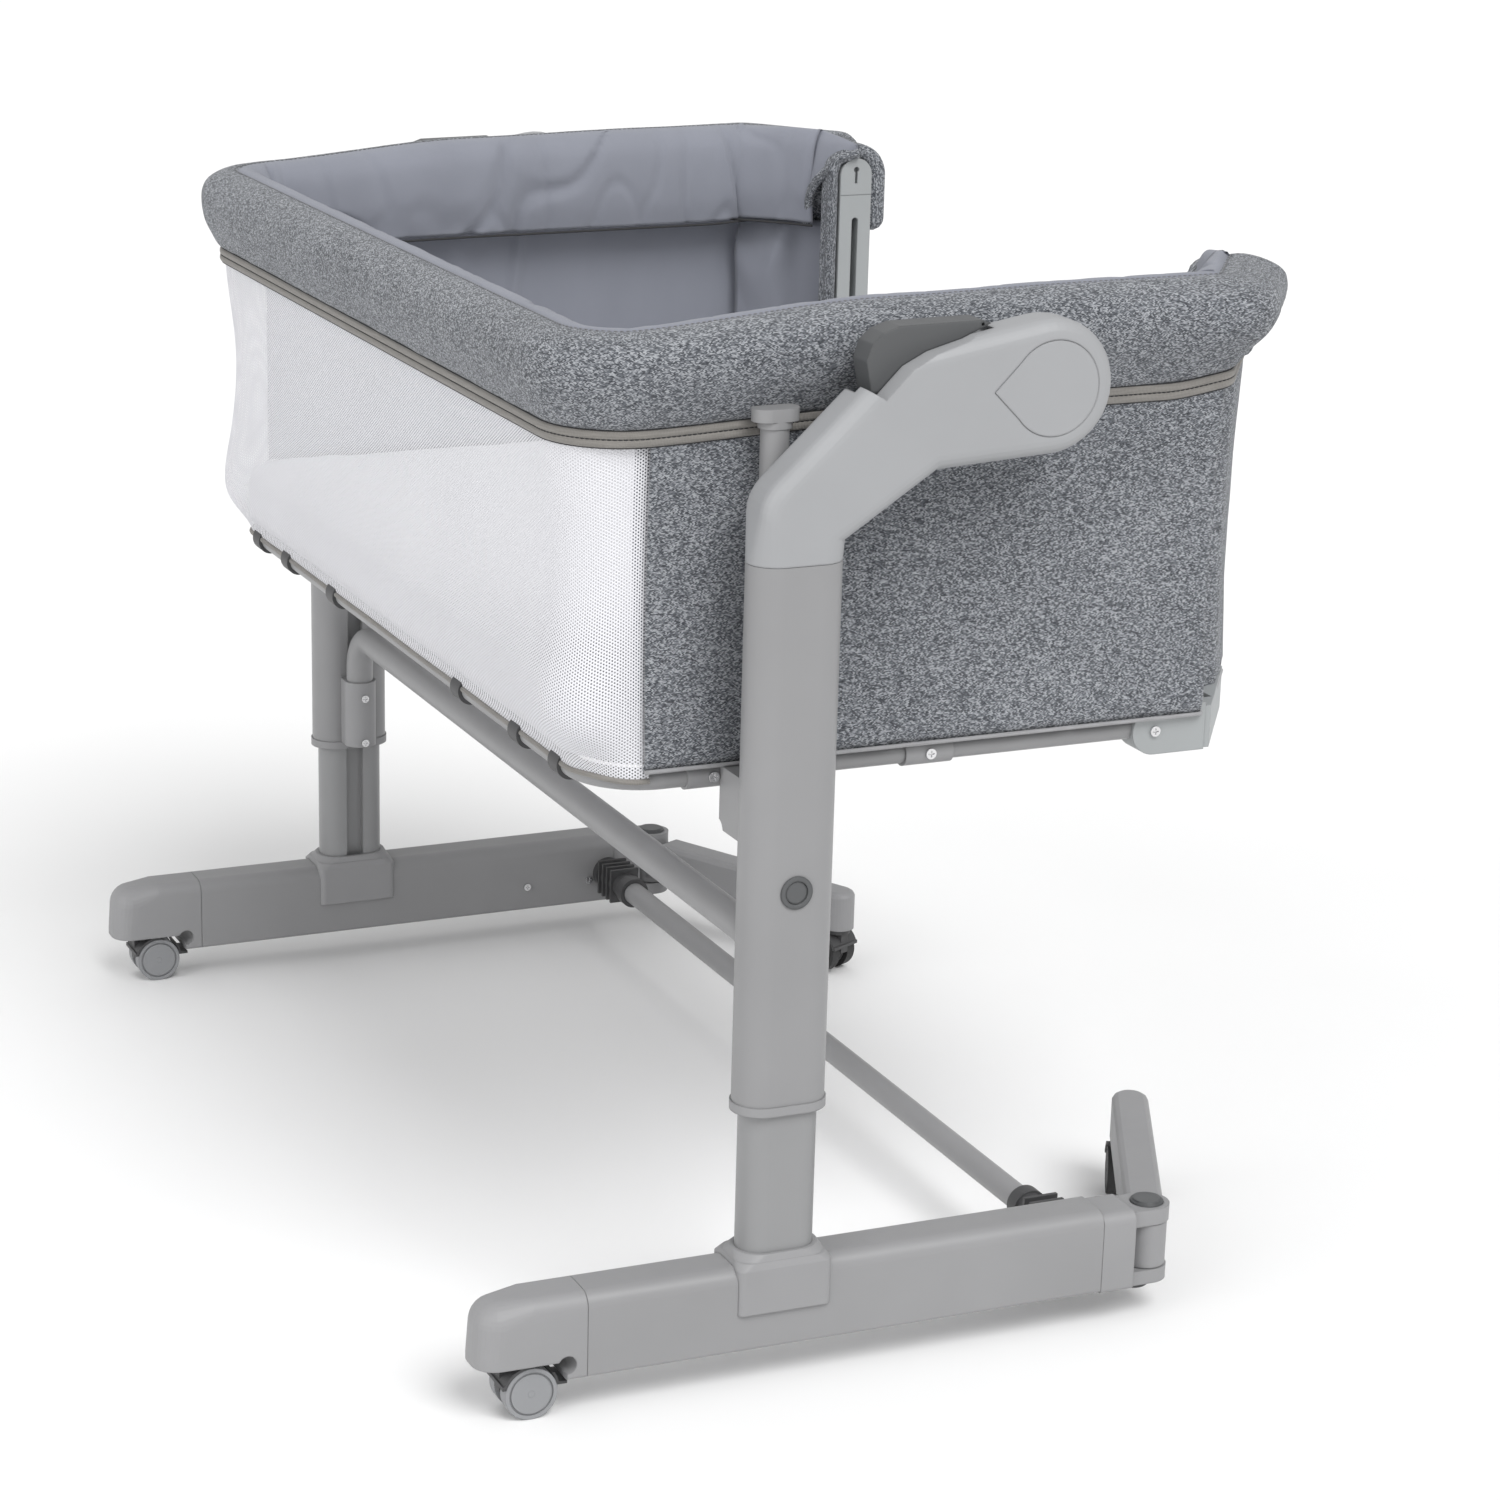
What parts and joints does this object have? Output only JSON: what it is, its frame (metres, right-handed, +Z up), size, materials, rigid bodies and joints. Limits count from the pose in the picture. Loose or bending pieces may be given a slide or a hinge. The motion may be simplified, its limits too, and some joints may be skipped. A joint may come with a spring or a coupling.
{
  "type": "bedside bassinet on stand",
  "caption": "Padded fabric bassinet hung between two height-adjusting posts on casters, with a mesh side, a lowering bed side and folding stabilizer legs.",
  "frame": {"origin": "on the floor, at the middle of the part's outline", "axes": "+Z up, -X towards the outer mesh side, +X towards the bed side, +Y towards the left post"},
  "size_m": [0.678, 1.001, 0.7659],
  "materials": {
    "frame_grey": "satin",
    "plastic_grey": "matte",
    "arm_grey": "matte",
    "tube_plastic": "matte",
    "post_plastic": "matte",
    "dark_plastic": "matte",
    "handle_dark": "matte",
    "chrome_screw": "polished",
    "melange": "woven",
    "liner_cloth": "smooth woven",
    "mesh_cloth": "open mesh",
    "tape_cloth": "woven tape",
    "mattress_cloth": "soft woven",
    "board": "matte",
    "wheel_outer": "matte",
    "wheel_inner": "matte"
  },
  "bodies": {
    "stand": {"right_foot_beam": "frame_grey", "left_foot_beam": "frame_grey", "right_end_cap": "plastic_grey", "left_end_cap": "plastic_grey", "right_hinge_block": "plastic_grey", "left_hinge_block": "plastic_grey", "crossbar_sockets": "dark_plastic", "glide_pads": "dark_plastic", "lower_crossbar": "frame_grey", "right_leg_collar": "plastic_grey", "left_leg_collar": "plastic_grey", "right_inner_tube": "tube_plastic", "left_inner_tube": "tube_plastic", "beam_screws": "chrome_screw"},
    "basket": {"right_outer_tube": "frame_grey", "left_outer_tube": "frame_grey", "tube_bushings": "plastic_grey", "right_level_window": "handle_dark", "left_level_window": "handle_dark", "upper_crossbar": "frame_grey", "crossbar_clamps": "plastic_grey", "clamp_screws": "chrome_screw", "right_arm": "arm_grey", "left_arm": "arm_grey", "arm_end_covers": "arm_grey", "right_strut": "frame_grey", "left_strut": "frame_grey", "basket_base_frame": "frame_grey", "frame_connectors": "plastic_grey", "frame_clips": "dark_plastic", "corner_brackets": "post_plastic", "frame_screws": "chrome_screw", "right_guide_post": "post_plastic", "left_guide_post": "post_plastic", "mattress_board": "board", "mattress": "mattress_cloth", "right_end_panel": "melange", "left_end_panel": "melange", "mesh_side_panel": "mesh_cloth", "end_liners": "liner_cloth", "padded_rim": "melange", "trim_tape": "tape_cloth", "side_fabric": "melange"},
    "lowering_side": {"side_rail": "frame_grey"},
    "right_stabilizer": {"right_stabilizer_leg": "plastic_grey"},
    "right_button": {"right_release_button": "handle_dark"},
    "right_handle": {"right_arm_handle": "handle_dark"},
    "right_outer_caster": {"right_outer_caster": "dark_plastic"},
    "right_outer_wheels": {"right_outer_wheels": "wheel_outer"},
    "right_brake": {"right_brake_lever": "dark_plastic"},
    "right_inner_caster": {"right_inner_caster": "dark_plastic"},
    "right_inner_wheels": {"right_inner_wheels": "wheel_inner"},
    "left_stabilizer": {"left_stabilizer_leg": "plastic_grey"},
    "left_button": {"left_release_button": "handle_dark"},
    "left_handle": {"left_arm_handle": "handle_dark"},
    "left_outer_caster": {"left_outer_caster": "dark_plastic"},
    "left_outer_wheels": {"left_outer_wheels": "wheel_outer"},
    "left_brake": {"left_brake_lever": "dark_plastic"},
    "left_inner_caster": {"left_inner_caster": "dark_plastic"},
    "left_inner_wheels": {"left_inner_wheels": "wheel_inner"}
  },
  "joints": [
    {"name": "height_slide", "type": "slide", "parent": "stand", "child": "basket", "axis": [0, 0, 1], "range_m": [-0.1045, 0.045]},
    {"name": "side_slide", "type": "slide", "parent": "basket", "child": "lowering_side", "axis": [0, 0, 1], "range_m": [0, 0.212], "deforming": ["side_fabric"]},
    {"name": "right_stabilizer_hinge", "type": "hinge", "parent": "stand", "child": "right_stabilizer", "pos_m": [0.199, -0.476, 0.056], "axis": [0, 0, -1], "range_deg": [-20, 63]},
    {"name": "right_button_press", "type": "slide", "parent": "stand", "child": "right_button", "axis": [0, 0, -1], "range_m": [0, 0.004], "stiffness_N_per_m": 800},
    {"name": "right_handle_press", "type": "hinge", "parent": "basket", "child": "right_handle", "pos_m": [0.027, -0.468, 0.7546], "axis": [0, -1, 0], "range_deg": [0, 4], "stiffness_Nm_per_rad": 4},
    {"name": "right_outer_swivel", "type": "hinge", "parent": "stand", "child": "right_outer_caster", "pos_m": [-0.31, -0.476, 0.04], "axis": [0, 0, 1], "continuous": true},
    {"name": "right_outer_roll", "type": "hinge", "parent": "right_outer_caster", "child": "right_outer_wheels", "pos_m": [-0.298, -0.476, 0.0196], "axis": [0, 1, 0], "continuous": true},
    {"name": "right_brake_tread", "type": "hinge", "parent": "right_outer_caster", "child": "right_brake", "pos_m": [-0.298, -0.476, 0.0196], "axis": [0, 1, 0], "range_deg": [0, 14]},
    {"name": "right_inner_swivel", "type": "hinge", "parent": "right_stabilizer", "child": "right_inner_caster", "pos_m": [0.30234, -0.27053, 0.04], "axis": [0, 0, 1], "continuous": true},
    {"name": "right_inner_roll", "type": "hinge", "parent": "right_inner_caster", "child": "right_inner_wheels", "pos_m": [0.29695, -0.28125, 0.0196], "axis": [-0.8934, 0.4493, 0], "continuous": true},
    {"name": "left_stabilizer_hinge", "type": "hinge", "parent": "stand", "child": "left_stabilizer", "pos_m": [0.199, 0.476, 0.056], "axis": [0, 0, 1], "range_deg": [-20, 63]},
    {"name": "left_button_press", "type": "slide", "parent": "stand", "child": "left_button", "axis": [0, 0, -1], "range_m": [0, 0.004], "stiffness_N_per_m": 800},
    {"name": "left_handle_press", "type": "hinge", "parent": "basket", "child": "left_handle", "pos_m": [0.027, 0.468, 0.7546], "axis": [0, -1, 0], "range_deg": [0, 4], "stiffness_Nm_per_rad": 4},
    {"name": "left_outer_swivel", "type": "hinge", "parent": "stand", "child": "left_outer_caster", "pos_m": [-0.31, 0.476, 0.04], "axis": [0, 0, 1], "continuous": true},
    {"name": "left_outer_roll", "type": "hinge", "parent": "left_outer_caster", "child": "left_outer_wheels", "pos_m": [-0.298, 0.476, 0.0196], "axis": [0, 1, 0], "continuous": true},
    {"name": "left_brake_tread", "type": "hinge", "parent": "left_outer_caster", "child": "left_brake", "pos_m": [-0.298, 0.476, 0.0196], "axis": [0, 1, 0], "range_deg": [0, 14]},
    {"name": "left_inner_swivel", "type": "hinge", "parent": "left_stabilizer", "child": "left_inner_caster", "pos_m": [0.30234, 0.27053, 0.04], "axis": [0, 0, 1], "continuous": true},
    {"name": "left_inner_roll", "type": "hinge", "parent": "left_inner_caster", "child": "left_inner_wheels", "pos_m": [0.29695, 0.28125, 0.0196], "axis": [0.8934, 0.4493, 0], "continuous": true}
  ]
}
